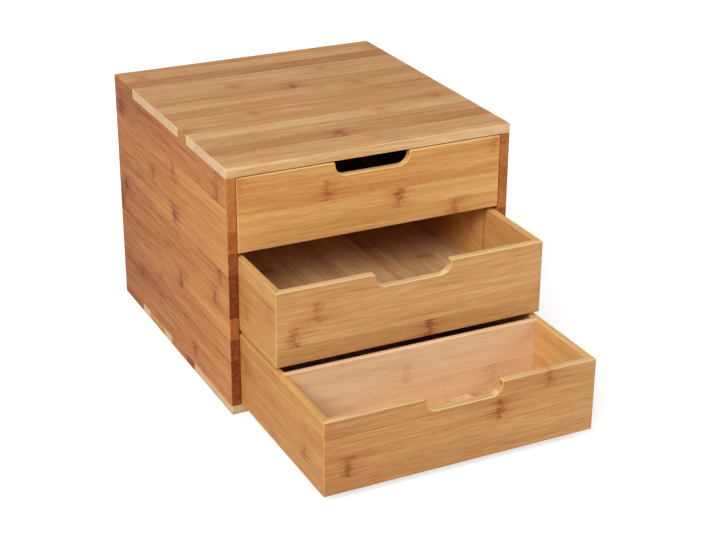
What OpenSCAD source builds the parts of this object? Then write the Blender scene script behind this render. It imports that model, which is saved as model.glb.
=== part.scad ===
// Desk-top chest of three drawers, built of laminated bamboo boards.
// Millimetres, +Z up. The origin is the centre of the case's bottom face, and the drawers open toward -Y.

/* [Case] */
// Width of the case, left to right
case_width = 314; // [260:1:420]
// Depth of the case, front to back
case_depth = 330; // [280:1:420]
// Height of the case
case_height = 266; // [210:1:360]
// Thickness of the top, bottom and side boards
case_board = 10; // [8:0.5:14]
// Thickness of the back panel
back_board = 6; // [4:0.5:8]
// Width of the rebate that the back panel stands in
rebate_width = 5; // [3:0.5:6]
// Rounding of the boards' outer edges
edge_round = 1.2; // [0.6:0.1:2]

/* [Runners] */
// Height of the four runners
runner_height = 4; // [3:0.5:8]
// Reach of a runner from the side board's inner face
runner_reach = 10; // [7:0.5:14]
// Depth of a runner's groove in the side board
runner_groove = 3; // [2:0.5:4]
// Setback of the runners behind the case's front edges
runner_setback = 12; // [4:1:30]

/* [Dowels] */
// Diameter of the dowels between the panels and the sides
dowel_diameter = 6; // [4:0.5:6]
// Depth of a dowel in the top or bottom panel
dowel_in_panel = 6; // [4:0.5:6]
// Depth of a dowel in the side board
dowel_in_side = 14; // [8:1:20]
// Distance between neighbouring dowels
dowel_spacing = 120; // [80:5:125]

/* [Drawers] */
// Thickness of the drawers' fronts, sides and backs
drawer_board = 8; // [7:0.5:12]
// Thickness of the drawers' bottom panels
floor_board = 4; // [3:0.5:5]
// Height of a drawer's bottom panel above its lower edges
floor_lift = 6; // [3:0.5:10]
// Depth of the grooves that hold a drawer's bottom panel
floor_groove = 4; // [3:0.5:5]
// Depth of the rebates that hold a drawer's back
back_rebate = 3; // [2:0.5:4]
// Gap between a drawer and the case on each side
side_gap = 1; // [0.5:0.1:2]
// Gap behind a closed drawer
rear_gap = 4; // [1:0.5:10]
// Gap between a drawer's lower edges and what it slides on
slide_gap = 0.3; // [0.3:0.1:0.8]
// Gap between a drawer's top edges and the runners above it
head_gap = 0.7; // [0.4:0.1:2]
// Gap between the top drawer and the top panel
top_gap = 1.7; // [0.5:0.1:3]

/* [Finger notches] */
// Width of a finger notch between its walls
notch_width = 82; // [50:1:110]
// Depth of a finger notch
notch_depth = 14.5; // [14.5:0.5:25]
// Radius of a notch's lower corners
notch_corner = 11.5; // [6:0.5:11.5]
// Radius of the shoulders where a notch meets the top edge
notch_shoulder = 2.5; // [2:0.5:2.5]

/* [Divider] */
// Thickness of the cross divider
divider_board = 6; // [4:0.5:8]
// Distance of the divider's middle behind the drawer front's outer face
divider_place = 102; // [60:1:160]
// Depth of the divider's slots in the drawer sides
slot_depth = 3.5; // [2.5:0.5:4]
// Play of the divider in its slots
slot_play = 0.3; // [0.1:0.1:0.6]

/* [Drawers at rest] */
// How far the top drawer stands out of the case
top_drawer_out = 0; // [0:5:240]
// How far the middle drawer stands out of the case
middle_drawer_out = 90; // [0:5:240]
// How far the bottom drawer stands out of the case
bottom_drawer_out = 195; // [0:5:240]

/* [Hidden] */

top_colour = "#CF9E66";
side_colour = "#C08A55";
front_colour = "#DDB276";
hidden_colour = "#D2A66C";
dowel_colour = "#C9A06A";

// Steps of a rounded edge's quarter circle
edge_steps = 3;
// How far a cutting shape reaches past the faces it cuts
past = 1;

half_width = case_width / 2;
half_depth = case_depth / 2;
inner_half = half_width - case_board;
back_face = half_depth - back_board;
side_height = case_height - 2 * case_board;

drawer_width = 2 * (inner_half - side_gap);
drawer_half = drawer_width / 2;
drawer_inner = drawer_half - drawer_board;
drawer_length = case_depth - back_board - rear_gap;
drawer_height = (side_height - 3 * slide_gap - 2 * (runner_height + head_gap) - top_gap) / 3;
drawer_pitch = drawer_height + head_gap + runner_height + slide_gap;
lower_runner = case_board + drawer_pitch - runner_height;
upper_runner = lower_runner + drawer_pitch;
floor_top = floor_lift + floor_board;
divider_reach = drawer_inner + slot_depth;

// Each drawer's place: the y of its front face and the z of its lower edges
bottom_place = [-half_depth - bottom_drawer_out, case_board + slide_gap];
middle_place = [-half_depth - middle_drawer_out, bottom_place[1] + drawer_pitch];
top_place = [-half_depth - top_drawer_out, middle_place[1] + drawer_pitch];

// Which edges of a board are rounded, in the order of outline()
NO_EDGES = [false, false, false, false];
ALL_EDGES = [true, true, true, true];
LOW_EDGES = [true, true, false, false];
HIGH_EDGES = [false, false, true, true];
WALL_EDGES = [true, false, true, true];

// Rectangle from lo to hi, counter-clockwise from its lowest corner, with the chosen corners rounded
function outline(lo, hi, rounded) = [
    for (i = [0:3])
        let (corner = [[lo[0], lo[1]], [hi[0], lo[1]], [hi[0], hi[1]], [lo[0], hi[1]]][i],
             inward = [[1, 1], [-1, 1], [-1, -1], [1, -1]][i])
        for (step = [0 : rounded[i] ? edge_steps : 0])
            let (turn = 180 + 90 * i + 90 * step / edge_steps)
            rounded[i]
                ? corner + edge_round * (inward + [cos(turn), sin(turn)])
                : corner
];

// Straight piece whose profile in Y and Z runs along X from one place to another
module along_x(from, to) {
    translate([from, 0, 0]) rotate([90, 0, 90]) linear_extrude(to - from) children();
}

// Straight piece whose profile in X and Z runs along Y from one place to another
module along_y(from, to) {
    translate([0, to, 0]) rotate([90, 0, 0]) linear_extrude(to - from) children();
}

// Upright piece whose profile in X and Y runs along Z from one place to another
module along_z(from, to) {
    translate([0, 0, from]) linear_extrude(to - from) children();
}

// Board from corner lo to corner hi, with the chosen edges along each axis rounded
module board(lo, hi, x_edges = NO_EDGES, y_edges = NO_EDGES, z_edges = NO_EDGES) {
    intersection() {
        along_x(lo[0], hi[0]) polygon(outline([lo[1], lo[2]], [hi[1], hi[2]], x_edges));
        along_y(lo[1], hi[1]) polygon(outline([lo[0], lo[2]], [hi[0], hi[2]], y_edges));
        along_z(lo[2], hi[2]) polygon(outline([lo[0], lo[1]], [hi[0], hi[1]], z_edges));
    }
}

// Plain block from corner lo to corner hi
module block(lo, hi) {
    translate(lo) cube(hi - lo);
}

// ---- Case ----

// Space of the back panel, which is also the shape of the rebates around it
module back_space(rear = 0) {
    block([-inner_half - rebate_width, back_face, case_board - rebate_width],
          [inner_half + rebate_width, half_depth + rear, case_height - case_board + rebate_width]);
}

// Dowels that stand across the joint at height z, with the given depths below and above it
module dowel_set(z, below, above) {
    for (side = [-1, 1], place = [-1, 0, 1])
        translate([side * (half_width - case_board / 2), place * dowel_spacing, z - below])
            cylinder(h = below + above, d = dowel_diameter, $fn = 32);
}

module top_joint_dowels() {
    dowel_set(case_height - case_board, dowel_in_side, dowel_in_panel);
}

module bottom_joint_dowels() {
    dowel_set(case_board, dowel_in_panel, dowel_in_side);
}

// Runner on the left side board, with its lower face at height z
module left_runner(z) {
    block([-inner_half - runner_groove, runner_setback - half_depth, z],
          [-inner_half + runner_reach, back_face, z + runner_height]);
}

module top_panel() {
    color(top_colour) difference() {
        board([-half_width, -half_depth, case_height - case_board],
              [half_width, half_depth, case_height],
              x_edges = HIGH_EDGES, y_edges = HIGH_EDGES, z_edges = ALL_EDGES);
        back_space(past);
        top_joint_dowels();
    }
}

module bottom_panel() {
    color(side_colour) difference() {
        board([-half_width, -half_depth, 0], [half_width, half_depth, case_board],
              x_edges = LOW_EDGES, y_edges = LOW_EDGES, z_edges = ALL_EDGES);
        back_space(past);
        bottom_joint_dowels();
    }
}

module left_side_panel() {
    color(side_colour) difference() {
        board([-half_width, -half_depth, case_board],
              [-inner_half, half_depth, case_height - case_board],
              z_edges = [true, false, false, true]);
        back_space(past);
        left_runner(lower_runner);
        left_runner(upper_runner);
        top_joint_dowels();
        bottom_joint_dowels();
    }
}

module right_side_panel() {
    mirror([1, 0, 0]) left_side_panel();
}

module back_panel() {
    color(hidden_colour) back_space();
}

module left_upper_runner() {
    color(hidden_colour) left_runner(upper_runner);
}

module right_upper_runner() {
    mirror([1, 0, 0]) left_upper_runner();
}

module left_lower_runner() {
    color(hidden_colour) left_runner(lower_runner);
}

module right_lower_runner() {
    mirror([1, 0, 0]) left_lower_runner();
}

module top_dowels() {
    color(dowel_colour) top_joint_dowels();
}

module bottom_dowels() {
    color(dowel_colour) bottom_joint_dowels();
}

// ---- Drawers: each board is drawn with y = 0 at the front's outer face and z = 0 at the lower edges ----

module in_drawer(place) {
    translate([0, place[0], place[1]]) children();
}

// The whole drawer seen from above, filled
module drawer_plan() {
    polygon(outline([-drawer_half, 0], [drawer_half, drawer_length], ALL_EDGES));
}

// Space of the bottom panel, short of the grooves' floors by the given gap
module floor_space(gap = 0) {
    reach = floor_groove - gap;
    block([-drawer_inner - reach, drawer_board - reach, floor_lift],
          [drawer_inner + reach, drawer_length - drawer_board + reach, floor_top]);
}

// Notch seen from the front, with the board's top edge at y = 0
module notch_outline() {
    wall = notch_width / 2;
    corner_level = notch_corner - notch_depth;
    union() {
        translate([-wall, corner_level]) square([notch_width, past - corner_level]);
        translate([notch_corner - wall, -notch_depth])
            square([notch_width - 2 * notch_corner, notch_depth]);
        for (side = [-1, 1]) {
            translate([side * (wall - notch_corner), corner_level]) circle(notch_corner, $fn = 48);
            difference() {
                translate([side > 0 ? wall : -wall - notch_shoulder, -notch_shoulder])
                    square([notch_shoulder, notch_shoulder + past]);
                translate([side * (wall + notch_shoulder), -notch_shoulder])
                    circle(notch_shoulder, $fn = 32);
            }
        }
    }
}

// Waste along a rounded edge: x runs from the edge into the board, y from its face
module edge_waste() {
    polygon(concat(
        [[-past, -past], [edge_round, -past]],
        [
            for (step = [0:edge_steps])
                let (turn = 270 - 90 * step / edge_steps)
                edge_round * [1 + cos(turn), 1 + sin(turn)]
        ],
        [[-past, edge_round]]
    ));
}

// Rounding along a notch's edge in the face z = 0 of a board that lies above that face
module notch_rim() {
    wall = notch_width / 2;
    floor_half = wall - notch_corner;
    corner_level = notch_corner - notch_depth;
    translate([-floor_half, -notch_depth, 0]) mirror([0, 1, 0])
        along_x(0, 2 * floor_half) edge_waste();
    for (side = [0, 1]) mirror([side, 0, 0]) {
        translate([-floor_half, corner_level, 0]) rotate(180)
            rotate_extrude(angle = 90, $fn = 48) translate([notch_corner, 0]) edge_waste();
        translate([-wall, 0, 0]) rotate([0, 0, 90])
            along_x(corner_level, -notch_shoulder) edge_waste();
        translate([-wall - notch_shoulder, -notch_shoulder, 0])
            rotate_extrude(angle = 90, $fn = 48) translate([notch_shoulder, 0]) mirror([1, 0])
                edge_waste();
    }
}

// All that a finger notch takes out of a drawer front
module finger_notch() {
    along_y(-past, drawer_board + past) notch_outline();
    rotate([90, 0, 0]) {
        translate([0, 0, -drawer_board]) notch_rim();
        mirror([0, 0, 1]) notch_rim();
    }
}

// Slots for the divider's ends, cut down to the bottom panel
module divider_slots() {
    half_slot = divider_board / 2 + slot_play;
    block([-divider_reach, divider_place - half_slot, floor_top],
          [divider_reach, divider_place + half_slot, drawer_height + past]);
}

module drawer_front() {
    color(front_colour) difference() {
        intersection() {
            along_z(0, drawer_height) intersection() {
                drawer_plan();
                polygon([[-drawer_half, 0], [drawer_half, 0],
                         [drawer_inner, drawer_board], [-drawer_inner, drawer_board]]);
            }
            along_x(-drawer_half, drawer_half)
                polygon(outline([0, 0], [drawer_board, drawer_height], WALL_EDGES));
        }
        floor_space();
        translate([0, 0, drawer_height]) finger_notch();
    }
}

module drawer_left_side() {
    color(front_colour) difference() {
        intersection() {
            along_z(0, drawer_height) intersection() {
                drawer_plan();
                polygon([[-drawer_half, 0], [-drawer_inner, drawer_board],
                         [-drawer_inner, drawer_length], [-drawer_half, drawer_length]]);
            }
            along_y(0, drawer_length)
                polygon(outline([-drawer_half, 0], [-drawer_inner, drawer_height], WALL_EDGES));
        }
        floor_space();
        divider_slots();
        block([-drawer_inner - back_rebate, drawer_length - drawer_board, -past],
              [0, drawer_length + past, drawer_height + past]);
    }
}

module drawer_right_side() {
    mirror([1, 0, 0]) drawer_left_side();
}

module drawer_back() {
    color(hidden_colour) difference() {
        board([-drawer_inner - back_rebate, drawer_length - drawer_board, 0],
              [drawer_inner + back_rebate, drawer_length, drawer_height],
              x_edges = HIGH_EDGES);
        floor_space();
    }
}

module drawer_bottom() {
    color(hidden_colour) floor_space(gap = 0.5);
}

module drawer_divider() {
    reach = divider_reach - slot_play;
    color(front_colour)
        board([-reach, divider_place - divider_board / 2, floor_top],
              [reach, divider_place + divider_board / 2, drawer_height],
              x_edges = HIGH_EDGES);
}

module top_drawer_front() { in_drawer(top_place) drawer_front(); }
module top_drawer_left_side() { in_drawer(top_place) drawer_left_side(); }
module top_drawer_right_side() { in_drawer(top_place) drawer_right_side(); }
module top_drawer_back() { in_drawer(top_place) drawer_back(); }
module top_drawer_bottom() { in_drawer(top_place) drawer_bottom(); }

module middle_drawer_front() { in_drawer(middle_place) drawer_front(); }
module middle_drawer_left_side() { in_drawer(middle_place) drawer_left_side(); }
module middle_drawer_right_side() { in_drawer(middle_place) drawer_right_side(); }
module middle_drawer_back() { in_drawer(middle_place) drawer_back(); }
module middle_drawer_bottom() { in_drawer(middle_place) drawer_bottom(); }

module bottom_drawer_front() { in_drawer(bottom_place) drawer_front(); }
module bottom_drawer_left_side() { in_drawer(bottom_place) drawer_left_side(); }
module bottom_drawer_right_side() { in_drawer(bottom_place) drawer_right_side(); }
module bottom_drawer_back() { in_drawer(bottom_place) drawer_back(); }
module bottom_drawer_bottom() { in_drawer(bottom_place) drawer_bottom(); }
module bottom_drawer_divider() { in_drawer(bottom_place) drawer_divider(); }

top_panel();
bottom_panel();
left_side_panel();
right_side_panel();
back_panel();
left_upper_runner();
right_upper_runner();
left_lower_runner();
right_lower_runner();
top_dowels();
bottom_dowels();
top_drawer_front();
top_drawer_left_side();
top_drawer_right_side();
top_drawer_back();
top_drawer_bottom();
middle_drawer_front();
middle_drawer_left_side();
middle_drawer_right_side();
middle_drawer_back();
middle_drawer_bottom();
bottom_drawer_front();
bottom_drawer_left_side();
bottom_drawer_right_side();
bottom_drawer_back();
bottom_drawer_bottom();
bottom_drawer_divider();
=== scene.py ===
"""Looks of the desk-top chest of three drawers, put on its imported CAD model.

Every board is laminated bamboo: strips glued side by side that run the board's whole length,
each with a tone, fibres and growth nodes of its own. Each CAD node keeps its shape and gets a
procedural material that is laid out from the board's own box, so the strips lie as in the photo.
"""
import math
import random
from collections import namedtuple

import bpy
from mathutils import Matrix, Vector


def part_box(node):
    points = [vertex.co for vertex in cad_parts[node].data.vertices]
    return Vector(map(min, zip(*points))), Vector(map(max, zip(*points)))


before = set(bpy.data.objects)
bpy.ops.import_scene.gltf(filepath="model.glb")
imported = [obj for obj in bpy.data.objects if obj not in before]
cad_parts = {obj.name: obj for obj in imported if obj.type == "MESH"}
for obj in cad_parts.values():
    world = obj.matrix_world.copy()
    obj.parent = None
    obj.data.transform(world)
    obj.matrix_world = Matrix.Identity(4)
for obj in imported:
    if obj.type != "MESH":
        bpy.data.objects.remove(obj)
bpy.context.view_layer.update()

MM = 0.001
AXES = "XYZ"

# A kind of board: the width of its strips and how far a growth node's dark middle reaches across
# its strip, in millimetres, what its faces across the strips add to the tone, partly their own side
# grain and partly a painted highlight on wall tops and rims, what its eased edges add to the tone
# as a painted highlight, and how much its long streaks show
Kind = namedtuple("Kind", "strip reach side edge streak")
CASE = Kind(23.3, 8.0, -0.18, -0.08, 0.42)
FRONT = Kind(21.5, 15.0, -0.34, -0.26, 0.42)
WALL = Kind(21.5, 15.0, -0.11, -0.06, 0.28)
DOWEL = Kind(400.0, 8.0, 0.0, 0.0, 0.42)  # one strip takes in all the dowels of a node
LONGEST_BOARD = 400.0  # the strip table holds a node's place as a share of this, in millimetres

# Tone runs from 0, pale straw, through 0.5, the board's usual colour, to 1, a growth node's brown
PALETTES = {
    # Partly the top and bottom panels' own paler tone, and partly painted shade that makes up for
    # the strong light on top faces
    "top": ("#EACBA2", "#D0A16A", "#BF8A55", "#AC6E3B", "#874A20"),
    "side": ("#EBB87E", "#D99955", "#C58044", "#A15A2A", "#672D12"),
    "front": ("#EEC98C", "#DDAC69", "#CE9555", "#BA783F", "#965224"),
    "pale": ("#E8C796", "#D7AB74", "#C8955E", "#B17746", "#8D5026"),
    "wall": ("#F0CE97", "#E1B473", "#D3A061", "#BD8044", "#965324"),
    "inner": ("#F2D2AA", "#E5BE93", "#D6AB79", "#BE8A54", "#975A2C"),
    "dowel": ("#E2C698", "#D6B582", "#C9A06A", "#B58A55", "#8F6638"),
}
PALETTE_STOPS = (0.0, 0.3, 0.5, 0.75, 1.0)

# The sizes of the patches of noise that draw the wood, and of a fibre bundle, in millimetres:
# along the grain, across the strips and through the board
PATCHES = {
    "wander": (90, 30, 30),
    "fibre": (26, 1.1, 1.1),
    "streak": (85, 2.6, 2.6),
    "drift": (170, 12, 12),
    "dash": (16, 1.0, 1.0),
    "glue": (60, 9, 9),
    "ragged": (12, 7, 7),
    "crumb": (3.5, 2.5, 2.5),
    "fleck": (6, 1.4, 1.4),
    "cloud": (300, 5, 5),
    "bundle": (300, 1.3, 1.3),
}
# Where a mark starts to show and where it is full
FADES = {
    # By the value of its noise
    "dash": (0.13, 0.24),
    "fleck": (-0.02, 0.14),
    "glue": (-0.2, 0.2),
    # By the distance from the nearest fibre bundle's centre, as a share of a bundle's size
    "dots": (0.42, 0.18),
    # By the distance from the centre of a growth node's dark middle, as a share of its size
    "middle": (1.5, 0.1),
    # By the distance in millimetres from the seam, and from the growth node along the grain
    "seam": (0.8, 0.2),
    "line": (2.4, 0.4),
    "spread": (13.0, 5.0),
    "halo": (30.0, 3.0),
    # By a face's normal: its part along the axis, and the largest of its three parts
    "facing": (0.6, 0.8),
    # Where the eased edges are, which get a painted highlight
    "eased": (0.995, 0.93),
    # By the distance in metres from the object
    "floor": (0.9, 3.0),
}
# What the marks in the wood add, each where it is strongest: to the tone along the grain, to a
# growth node's tone, to the end grain's tone, to the height of the bump and to the roughness
GRAIN_TONE = {"fibre": 0.38, "drift": 0.38, "dash": 0.12, "seam": 0.06}
NODE_TONE = {"middle": 0.22, "line": 0.05, "flecks": 0.18, "halo": 0.08}
END_TONE = {"dots": 0.16, "cloud": 0.30}
HEIGHT = {"fibre": 0.05, "streak": 0.06, "dash": -0.03, "seam": -0.04, "end_dots": -0.05}
ROUGHNESS = {"fibre": 0.25, "streak": 0.20, "end": 0.15}
END_GAIN = -0.04  # what all end grain adds to its strip's tone there
BUMP_STRENGTH = 0.8
PLAIN_ROUGHNESS = 0.58
SPECULAR_LEVEL = 0.15

SEEDS = (10, 400)  # between which a board's seed is drawn
STRIP_SHIFT = (53.1, 17.3, 29.7)  # from one strip's part of the noise to the next strip's
WANDER = 2.5  # how far the fibres wander across the strip, in millimetres
GLUE_STRENGTH = (0.3, 1.0)  # of a seam's weakest and strongest stretches
NODE_DISTANCE = 285.0  # between two growth nodes of one strip, in millimetres
NODE_RAGGED = 14.0  # how far a growth node strays along the grain, in millimetres
NODE_MIDDLES = (0.3, 0.7)  # between which its dark middle lies, as shares of its strip's width
NODE_LENGTH = 5.0  # of that dark middle along the grain, in millimetres
NODE_CRUMBLE = 1.6  # how much the outline of that dark middle crumbles, as a share of its size

# The photo's camera: its place in millimetres, its yaw, its pitch downward and its roll in
# degrees, and its lens and its sensor's width. They fit the case's and drawers' corners
CAMERA_PLACE = (-676, -1497, 807)
CAMERA_TURN = (-26.36, 24.35, 0.42)
CAMERA_LENS = 80.9
CAMERA_SENSOR = 36.0

# A square studio light: its place and the point it faces, in metres, its side and its power
Softbox = namedtuple("Softbox", "place aim side power")
SOFTBOXES = {
    "key": Softbox((-1.80, -1.88, 2.05), (0, -0.15, 0.13), 1.4, 80.0),
    "back": Softbox((-0.5, 2.4, 1.2), (0, 0, 0.13), 1.2, 14.0),
    "fill": Softbox((1.7, -2.0, 1.3), (0, 0, 0.13), 1.2, 18.0),
}
WORLD_LIGHT = 0.30  # of the white surroundings, as light on the object

# The floor: its side and how far it lies below the case, in metres, its paint, and its glow near
# the object and far from it
FLOOR_SIZE = 12.0
FLOOR_DROP = 0.0005
FLOOR_PAINT = "#CCCCCC"
FLOOR_GLOW = (0.65, 1.0)

# A strip: the tone of its face and of its end grain, its first growth node's place along the
# board (from the left end, or from the back) and how strongly its growth nodes show
Strip = namedtuple("Strip", "tone end node show")
# The values between which a strip that the photo doesn't show gets its own
LEAST_STRIP = Strip(0.34, 0.5, 0, 0.0)
MOST_STRIP = Strip(0.66, 0.8, 270, 1.0)
# A board: its kind, the axes along the grain and across the strips, its palette, the width of its
# first strip, the strips from the back or from the top, and the tone that it gains along the grain
# over its length, a painted shade that darkens one end. Without strips it gets random ones
Board = namedtuple("Board", "kind grain stack palette first strips gain", defaults=(None, 0.0))

TOP_STRIPS = (
    Strip(0.50, 0.80, 138, 0.4),
    Strip(0.40, 0.75, 24, 0.7),
    Strip(0.70, 0.80, 200, 0.3),
    Strip(0.40, 0.12, 217, 0.5),
    Strip(0.44, 0.15, 103, 0.6),
    Strip(0.54, 0.12, 162, 1.1),
    Strip(0.40, 0.18, 233, 0.6),
    Strip(0.55, 0.15, 250, 0.2),
    Strip(0.45, 0.12, 90, 0.5),
    Strip(0.48, 0.55, 2, 0.5),
    Strip(0.32, 0.10, 213, 0.5),
    Strip(0.46, 0.15, 60, 0.1),
    Strip(0.60, 0.12, 143, 1.0),
    Strip(0.40, 0.10, 172, 0.3),
    Strip(0.38, 0.10, 40, 0.1),
)
BOTTOM_STRIPS = (
    Strip(0.60, 0.85, 60, 0.3),
    Strip(0.55, 0.85, 200, 0.4),
    Strip(0.65, 0.80, 120, 0.3),
    Strip(0.40, 0.10, 240, 0.5),
    Strip(0.50, 0.35, 30, 0.4),
    Strip(0.50, 0.40, 150, 0.3),
    Strip(0.40, 0.12, 90, 0.5),
    Strip(0.65, 0.60, 220, 0.3),
    Strip(0.60, 0.65, 170, 0.2),
    Strip(0.80, 0.95, 10, 0.5),
    Strip(0.40, 0.15, 110, 0.4),
    Strip(0.45, 0.12, 260, 0.3),
    Strip(0.50, 0.18, 200, 0.3),
    Strip(0.40, 0.12, 70, 0.3),
    Strip(0.40, 0.12, 70, 0.3),
)
LEFT_SIDE_STRIPS = (
    Strip(0.64, 0.62, 20, 0.5),
    Strip(0.60, 0.65, 20, 0.8),
    Strip(0.50, 0.68, 182, 0.6),
    Strip(0.52, 0.78, 117, 0.6),
    Strip(0.49, 0.88, 182, 1.1),
    Strip(0.58, 0.94, 24, 0.6),
    Strip(0.54, 0.98, 7, 1.0),
    Strip(0.50, 0.74, 194, 0.9),
    Strip(0.54, 0.92, 130, 0.2),
    Strip(0.62, 0.95, 67, 0.4),
    Strip(0.54, 0.92, 230, 0.6),
    Strip(0.56, 0.85, 253, 0.6),
)
RIGHT_SIDE_STRIPS = (
    Strip(0.50, 0.72, 240, 0.4),
    Strip(0.45, 0.66, 60, 0.8),
    Strip(0.55, 0.76, 150, 0.5),
    Strip(0.42, 0.66, 210, 0.6),
    Strip(0.62, 0.84, 20, 0.8),
    Strip(0.48, 0.70, 120, 0.6),
    Strip(0.50, 0.78, 255, 0.9),
    Strip(0.40, 0.65, 90, 0.5),
    Strip(0.66, 0.85, 180, 0.4),
    Strip(0.50, 0.74, 30, 0.7),
    Strip(0.45, 0.65, 225, 0.5),
    Strip(0.52, 0.74, 140, 0.3),
)
TOP_FRONT_STRIPS = (
    Strip(0.48, 0.60, 284, 0.6),
    Strip(0.55, 0.65, 95, 0.7),
    Strip(0.42, 0.50, 175, 1.1),
    Strip(0.47, 0.60, 240, 0.8),
)
MIDDLE_FRONT_STRIPS = (
    Strip(0.52, 0.60, 260, 0.1),
    Strip(0.45, 0.60, 43, 0.7),
    Strip(0.46, 0.55, 18, 0.9),
    Strip(0.60, 0.70, 164, 0.9),
)
BOTTOM_FRONT_STRIPS = (
    Strip(0.62, 0.65, 239, 0.6),
    Strip(0.59, 0.65, 184, 0.9),
    Strip(0.57, 0.65, 24, 0.8),
    Strip(0.64, 0.70, 120, 0.1),
)
MIDDLE_LEFT_STRIPS = (
    Strip(0.48, 0.60, 120, 0.2),
    Strip(0.56, 0.70, 20, 0.3),
    Strip(0.49, 0.60, 248, 0.5),
    Strip(0.46, 0.55, 90, 0.2),
)
BOTTOM_LEFT_STRIPS = (
    Strip(0.53, 0.60, 60, 0.2),
    Strip(0.60, 0.70, 140, 0.4),
    Strip(0.53, 0.60, 278, 0.6),
    Strip(0.56, 0.65, 200, 0.2),
)
RIGHT_WALL_STRIPS = (
    Strip(0.46, 0.60, 60, 0.3),
    Strip(0.40, 0.55, 190, 0.5),
    Strip(0.50, 0.65, 130, 0.4),
    Strip(0.44, 0.60, 250, 0.6),
)
PALE_WALL_STRIPS = (
    Strip(0.42, 0.60, 60, 0.3),
    Strip(0.34, 0.55, 190, 0.5),
    Strip(0.44, 0.65, 130, 0.4),
    Strip(0.38, 0.60, 250, 0.6),
)
DIVIDER_STRIPS = (
    Strip(0.32, 0.50, 60, 0.2),
    Strip(0.24, 0.50, 130, 0.5),
    Strip(0.30, 0.50, 230, 0.4),
    Strip(0.36, 0.50, 20, 0.3),
)

BOARDS = {
    "top_panel": Board(CASE, "X", "Y", "top", 15.1, TOP_STRIPS),
    "bottom_panel": Board(CASE, "X", "Y", "top", 15.1, BOTTOM_STRIPS),
    # Painted shade: darker towards its back end
    "left_side_panel": Board(CASE, "Y", "Z", "side", 8.6, LEFT_SIDE_STRIPS, -0.24),
    "right_side_panel": Board(CASE, "Y", "Z", "side", 12.0, RIGHT_SIDE_STRIPS),
    "back_panel": Board(CASE, "X", "Z", "inner", 18.0),
    "top_drawer_front": Board(FRONT, "X", "Z", "front", 17.0, TOP_FRONT_STRIPS, -0.08),
    "middle_drawer_front": Board(FRONT, "X", "Z", "pale", 17.0, MIDDLE_FRONT_STRIPS, -0.08),
    "bottom_drawer_front": Board(FRONT, "X", "Z", "pale", 19.0, BOTTOM_FRONT_STRIPS, -0.14),
    "top_drawer_left_side": Board(WALL, "Y", "Z", "front", 14.0),
    "top_drawer_right_side": Board(WALL, "Y", "Z", "front", 14.0),
    "middle_drawer_left_side": Board(WALL, "Y", "Z", "front", 17.0, MIDDLE_LEFT_STRIPS),
    "middle_drawer_right_side": Board(WALL, "Y", "Z", "front", 15.0, RIGHT_WALL_STRIPS),
    "bottom_drawer_left_side": Board(WALL, "Y", "Z", "front", 17.0, BOTTOM_LEFT_STRIPS),
    "bottom_drawer_right_side": Board(WALL, "Y", "Z", "wall", 15.0, PALE_WALL_STRIPS),
    "bottom_drawer_divider": Board(WALL, "X", "Z", "inner", 18.0, DIVIDER_STRIPS),
}
for drawer in ("top_drawer", "middle_drawer", "bottom_drawer"):
    BOARDS[f"{drawer}_back"] = Board(WALL, "X", "Z", "inner", 14.0)
    BOARDS[f"{drawer}_bottom"] = Board(WALL, "Y", "X", "inner", 14.0)
for side in ("left", "right"):
    for level in ("upper", "lower"):
        BOARDS[f"{side}_{level}_runner"] = Board(WALL, "Y", "Z", "inner", 14.0)
for level in ("top", "bottom"):
    BOARDS[f"{level}_dowels"] = Board(DOWEL, "Z", "X", "dowel", 0.0)


def linear(code):
    """Scene-linear RGBA of an sRGB code such as "#C39162"."""
    shares = [int(code[i : i + 2], 16) / 255 for i in (1, 3, 5)]
    return [s / 12.92 if s <= 0.04045 else ((s + 0.055) / 1.055) ** 2.4 for s in shares] + [1.0]


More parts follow.
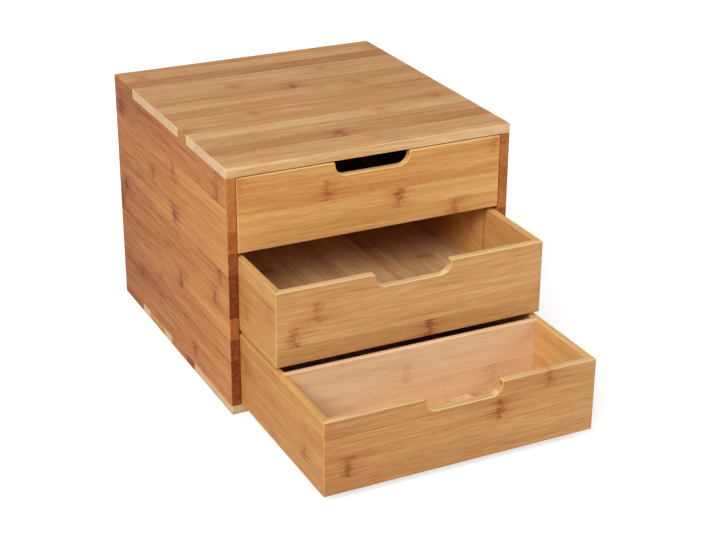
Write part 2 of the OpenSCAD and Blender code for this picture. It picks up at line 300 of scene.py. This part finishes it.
class Tree:
    """A node tree that is being built. Each method adds nodes, and most return an output socket."""

    def __init__(self, tree):
        self.tree = tree
        tree.nodes.clear()

    def node(self, kind, inputs=None, output=0, **settings):
        """Adds one node. Inputs are values or sockets, keyed by the input's name or number."""
        made = self.tree.nodes.new(kind)
        for name, value in settings.items():
            setattr(made, name, value)
        for key, value in (inputs or {}).items():
            if isinstance(value, bpy.types.NodeSocket):
                self.tree.links.new(value, made.inputs[key])
            else:
                made.inputs[key].default_value = value
        return made.outputs[output]

    def math(self, operation, *values, clamp=False):
        inputs = dict(enumerate(values))
        return self.node("ShaderNodeMath", inputs, operation=operation, use_clamp=clamp)

    def total(self, *values):
        result = values[0]
        for value in values[1:]:
            result = self.math("ADD", result, value)
        return result

    def weighted(self, marks, shares):
        """The sum of the marks that are named in shares, each times its share."""
        return self.total(*(self.math("MULTIPLY", marks[name], s) for name, s in shares.items()))

    def vector(self, operation, *values):
        inputs = dict(enumerate(values))
        return self.node("ShaderNodeVectorMath", inputs, operation=operation)

    def parts(self, vector):
        """The x, y and z of a vector."""
        return list(self.node("ShaderNodeSeparateXYZ", {0: vector}).node.outputs)

    def joined(self, x, y, z):
        return self.node("ShaderNodeCombineXYZ", {0: x, 1: y, 2: z})

    def length(self, vector):
        return self.node("ShaderNodeVectorMath", {0: vector}, output="Value", operation="LENGTH")

    def fade(self, value, name):
        """0 at the first value of the fade of this name and 1 at its second, smooth between."""
        start, end = FADES[name]
        first, last = (0.0, 1.0) if start < end else (1.0, 0.0)
        inputs = {0: value, 1: min(start, end), 2: max(start, end), 3: first, 4: last}
        return self.node("ShaderNodeMapRange", inputs, interpolation_type="SMOOTHSTEP")

    def mixed(self, share, first, second):
        return self.node("ShaderNodeMix", {0: share, 2: first, 3: second}, data_type="FLOAT")

    def scaled(self, place, patch):
        """A place counted in patches of this name."""
        return self.vector("MULTIPLY", place, [1 / size for size in PATCHES[patch]])

    def noise(self, place, patch, detail=1.0):
        """Noise around 0 in patches of this name."""
        inputs = {"Vector": self.scaled(place, patch), "Scale": 1.0, "Detail": detail}
        return self.math("SUBTRACT", self.node("ShaderNodeTexNoise", inputs), 0.5)

    def ramp(self, share, stops, interpolation):
        """A colour ramp through stops, each a position and an RGBA value."""
        colour = self.node("ShaderNodeValToRGB", {0: share})
        elements = colour.node.color_ramp.elements
        colour.node.color_ramp.interpolation = interpolation
        while len(elements) < len(stops):
            elements.new(1.0)
        for element, (position, value) in zip(elements, stops):
            element.position = position
            element.color = value
        return colour

    def surface(self, kind, shader):
        """Ends the tree in an output node of this kind."""
        output = self.tree.nodes.new(kind)
        self.tree.links.new(shader, output.inputs["Surface"])


def new_material(name):
    """An empty material, and the tree to build it in."""
    material = bpy.data.materials.new(name)
    material.use_nodes = True
    return material, Tree(material.node_tree)


def random_strips(name, count):
    """Strips for a board that the photo doesn't show, the same at each run."""
    dice = random.Random(name)
    return [Strip(*map(dice.uniform, LEAST_STRIP, MOST_STRIP)) for _ in range(count)]


def board_size(name, axis):
    """How long a board is along an axis, in millimetres."""
    low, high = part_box(name)
    return (high - low)[AXES.index(axis)] / MM


def board_place(tree, name, board):
    """Where a point is in its board, in millimetres: along the grain from the left end, the back
    or the top, across the strips from the right end, the back or the top, and through it."""
    low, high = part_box(name)
    third = (set(AXES) - {board.grain, board.stack}).pop()
    scale, offset = [0.0] * 3, [0.0] * 3
    for axis, from_low in ((board.grain, board.grain == "X"), (board.stack, False), (third, True)):
        i = AXES.index(axis)
        scale[i] = (1 if from_low else -1) / MM
        offset[i] = -scale[i] * (low[i] if from_low else high[i])
    object_place = tree.node("ShaderNodeTexCoord", output="Object")
    split = tree.parts(tree.vector("MULTIPLY_ADD", object_place, scale, offset))
    return [split[AXES.index(axis)] for axis in (board.grain, board.stack, third)]


def face_kinds(tree, board):
    """How much a point lies on end grain, on a face across the strips, and on eased edges, where a
    painted highlight goes.
    """
    split = tree.parts(tree.vector("ABSOLUTE", tree.node("ShaderNodeTexCoord", output="Normal")))
    end, side = (tree.fade(split[AXES.index(a)], "facing") for a in (board.grain, board.stack))
    largest = tree.math("MAXIMUM", tree.math("MAXIMUM", split[0], split[1]), split[2])
    return end, side, tree.fade(largest, "eased")


def strip_spot(tree, board, across):
    """The number of the strip that a point is in, from 0, the share of that strip's width that
    lies before the point, and the distance to the nearest seam in millimetres."""
    strips = tree.math("DIVIDE", tree.math("SUBTRACT", across, board.first), board.kind.strip)
    whole = tree.math("FLOOR", strips)
    share = tree.math("SUBTRACT", strips, whole)
    seam_distance = tree.math("MULTIPLY", tree.math("PINGPONG", share, 0.5), board.kind.strip)
    return tree.math("ADD", whole, 1.0), share, seam_distance


def strip_values(tree, name, board, number):
    """The strip of this number, as a Strip of sockets that read it from a table in the tree."""
    count = math.ceil((board_size(name, board.stack) - board.first) / board.kind.strip) + 1
    strips = board.strips or random_strips(name, count)
    row = tree.math("DIVIDE", tree.math("ADD", number, 0.5), len(strips))
    stops = [
        (i / len(strips), (s.tone, s.node / LONGEST_BOARD, s.show, s.end))
        for i, s in enumerate(strips)
    ]
    table = tree.ramp(row, stops, "CONSTANT")
    tone, node_share, show = tree.node("ShaderNodeSeparateColor", {0: table}).node.outputs
    node = tree.math("MULTIPLY", node_share, LONGEST_BOARD)
    return Strip(tone, table.node.outputs["Alpha"], node, show)


def fibre_place(tree, place, seed):
    """Where the noise is read for a place: each strip's fibres are its own, and wander a little."""
    shift = tree.vector("MULTIPLY", tree.joined(seed, seed, seed), STRIP_SHIFT)
    place = tree.vector("ADD", place, shift)
    wander = tree.math("MULTIPLY", tree.noise(place, "wander"), WANDER)
    return tree.vector("ADD", place, tree.joined(0.0, wander, 0.0))


def glue_line(tree, place, seam_distance):
    """The glue line between two strips, stronger in some stretches than in others."""
    strength = tree.mixed(tree.fade(tree.noise(place, "glue"), "glue"), *GLUE_STRENGTH)
    return tree.math("MULTIPLY", tree.fade(seam_distance, "seam"), strength)


def growth_node(tree, kind, place, seed, along, share, strip):
    """What a strip's growth nodes add to its tone: a ragged dark middle, a thin line across the
    strip, flecks along the fibres on both sides of it, and a wide halo."""
    off = tree.math("SUBTRACT", along, strip.node)
    off = tree.math("WRAP", off, NODE_DISTANCE / 2, -NODE_DISTANCE / 2)
    ragged = tree.math("MULTIPLY", tree.noise(place, "ragged", detail=2.0), NODE_RAGGED)
    off = tree.math("ADD", off, ragged)
    chance = tree.node("ShaderNodeTexWhiteNoise", {"W": seed}, noise_dimensions="1D")
    sideways = tree.math("SUBTRACT", share, tree.mixed(chance, *NODE_MIDDLES))
    sideways = tree.math("MULTIPLY", sideways, kind.strip / kind.reach)
    reach = tree.length(tree.joined(tree.math("DIVIDE", off, NODE_LENGTH), sideways, 0.0))
    crumble = tree.math("MULTIPLY", tree.noise(place, "crumb"), NODE_CRUMBLE)
    off = tree.math("ABSOLUTE", off)
    fleck = tree.fade(tree.noise(place, "fleck"), "fleck")
    marks = {
        "middle": tree.fade(tree.math("ADD", reach, crumble), "middle"),
        "line": tree.fade(off, "line"),
        "flecks": tree.math("MULTIPLY", tree.fade(off, "spread"), fleck),
        "halo": tree.fade(off, "halo"),
    }
    return tree.math("MULTIPLY", tree.weighted(marks, NODE_TONE), strip.show)


def end_grain(tree, place, strip):
    """The tone of a strip's end grain, and the dots that its cut fibre bundles make there."""
    bundles = {"Vector": tree.scaled(place, "bundle"), "Scale": 1.0}
    dots = tree.fade(tree.node("ShaderNodeTexVoronoi", bundles), "dots")
    marks = {"dots": dots, "cloud": tree.noise(place, "cloud")}
    return tree.total(strip.end, tree.weighted(marks, END_TONE), END_GAIN), dots


def board_material(name, board):
    """Laminated bamboo for one board."""
    material, tree = new_material(f"bamboo_{name}")
    along, across, through = board_place(tree, name, board)
    number, share, seam_distance = strip_spot(tree, board, across)
    strip = strip_values(tree, name, board, number)
    seed = tree.math("ADD", number, float(random.Random(name).randrange(*SEEDS)))
    place = fibre_place(tree, tree.joined(along, across, through), seed)
    end, side, edge = face_kinds(tree, board)
    end_tone, dots = end_grain(tree, place, strip)
    marks = {
        "fibre": tree.noise(place, "fibre"),
        "streak": tree.noise(place, "streak", detail=2.0),
        "drift": tree.noise(place, "drift"),
        "dash": tree.fade(tree.noise(place, "dash"), "dash"),
        "seam": glue_line(tree, place, seam_distance),
        "side": side,
        "end": end,
        "end_dots": tree.math("MULTIPLY", dots, end),
    }

    length = board_size(name, board.grain)
    grain_tone = tree.total(
        strip.tone,
        tree.weighted(marks, GRAIN_TONE),
        # Faces across the strips come out lighter: partly their own side grain, partly a painted
        # highlight on wall tops and rims
        tree.weighted(marks, {"streak": board.kind.streak, "side": board.kind.side}),
        # Painted shade: the board darker towards one end along the grain
        tree.math("MULTIPLY", tree.math("SUBTRACT", along, length / 2), board.gain / length),
        growth_node(tree, board.kind, place, seed, along, share, strip),
    )
    # Painted highlight: eased edges made lighter, as if they caught the light
    eased = tree.math("MULTIPLY", edge, board.kind.edge)
    tone = tree.math("ADD", tree.mixed(end, grain_tone, end_tone), eased, clamp=True)
    palette = [(at, linear(code)) for at, code in zip(PALETTE_STOPS, PALETTES[board.palette])]
    bump = {"Strength": BUMP_STRENGTH, "Distance": MM, "Height": tree.weighted(marks, HEIGHT)}
    finish = {
        "Base Color": tree.ramp(tone, palette, "LINEAR"),
        "Roughness": tree.total(PLAIN_ROUGHNESS, tree.weighted(marks, ROUGHNESS)),
        "Normal": tree.node("ShaderNodeBump", bump),
        "Specular IOR Level": SPECULAR_LEVEL,
    }
    tree.surface("ShaderNodeOutputMaterial", tree.node("ShaderNodeBsdfPrincipled", finish))
    return material


def dress_boards():
    for name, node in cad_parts.items():
        material = board_material(name, BOARDS[name])
        for slot in node.material_slots:
            slot.material = material


def seen_ray(tree):
    """1 for rays from the camera, from a mirror or through glass, and 0 for light's own."""
    path = tree.node("ShaderNodeLightPath").node.outputs
    seen = tree.math("MAXIMUM", path["Is Camera Ray"], path["Is Glossy Ray"])
    return tree.math("MAXIMUM", seen, path["Is Transmission Ray"])


def make_floor():
    """A pale floor that the camera sees as white, but for the object's shadow. Its glow makes up
    for the lamps' light, so it grows with the distance from the object."""
    bpy.ops.mesh.primitive_plane_add(size=FLOOR_SIZE, location=(0, 0, -FLOOR_DROP))
    floor = bpy.context.object
    floor.name = "floor"
    material, tree = new_material("floor")
    paint = tree.node("ShaderNodeBsdfDiffuse", {"Color": linear(FLOOR_PAINT)})
    distance = tree.length(tree.node("ShaderNodeTexCoord", output="Object"))
    level = tree.mixed(tree.fade(distance, "floor"), *FLOOR_GLOW)
    level = tree.math("MULTIPLY", level, seen_ray(tree))
    glow = tree.node("ShaderNodeEmission", {"Strength": level})
    both = tree.node("ShaderNodeAddShader", {0: paint, 1: glow})
    tree.surface("ShaderNodeOutputMaterial", both)
    floor.data.materials.append(material)


def make_world():
    """White where it is seen, and dimmer as light on the object."""
    world = bpy.data.worlds.new("studio")
    world.use_nodes = True
    bpy.context.scene.world = world
    tree = Tree(world.node_tree)
    level = tree.mixed(seen_ray(tree), WORLD_LIGHT, 1.0)
    sky = tree.node("ShaderNodeBackground", {"Color": (1, 1, 1, 1), "Strength": level})
    tree.surface("ShaderNodeOutputWorld", sky)


def add_object(name, data):
    """A new object in the scene that shows this data."""
    added = bpy.data.objects.new(name, data)
    bpy.context.scene.collection.objects.link(added)
    return added


def make_softbox(name, softbox):
    data = bpy.data.lights.new(name, "AREA")
    data.shape = "SQUARE"
    data.size = softbox.side
    data.energy = softbox.power
    lamp = add_object(name, data)
    lamp.location = softbox.place
    toward = Vector(softbox.aim) - Vector(softbox.place)
    lamp.rotation_euler = toward.to_track_quat("-Z", "Y").to_euler()
    lamp.visible_camera = False


def make_camera():
    """The photo's camera."""
    data = bpy.data.cameras.new("camera")
    data.lens = CAMERA_LENS
    data.sensor_width = CAMERA_SENSOR
    camera = add_object("camera", data)
    yaw, pitch, roll = (math.radians(angle) for angle in CAMERA_TURN)
    turn = Matrix.Rotation(yaw, 4, "Z") @ Matrix.Rotation(math.pi / 2 - pitch, 4, "X")
    turn = turn @ Matrix.Rotation(roll, 4, "Z")
    camera.matrix_world = Matrix.Translation(Vector(CAMERA_PLACE) * MM) @ turn
    bpy.context.scene.camera = camera


dress_boards()
make_floor()
make_world()
for name, softbox in SOFTBOXES.items():
    make_softbox(name, softbox)
make_camera()
bpy.context.scene.view_settings.view_transform = "Standard"
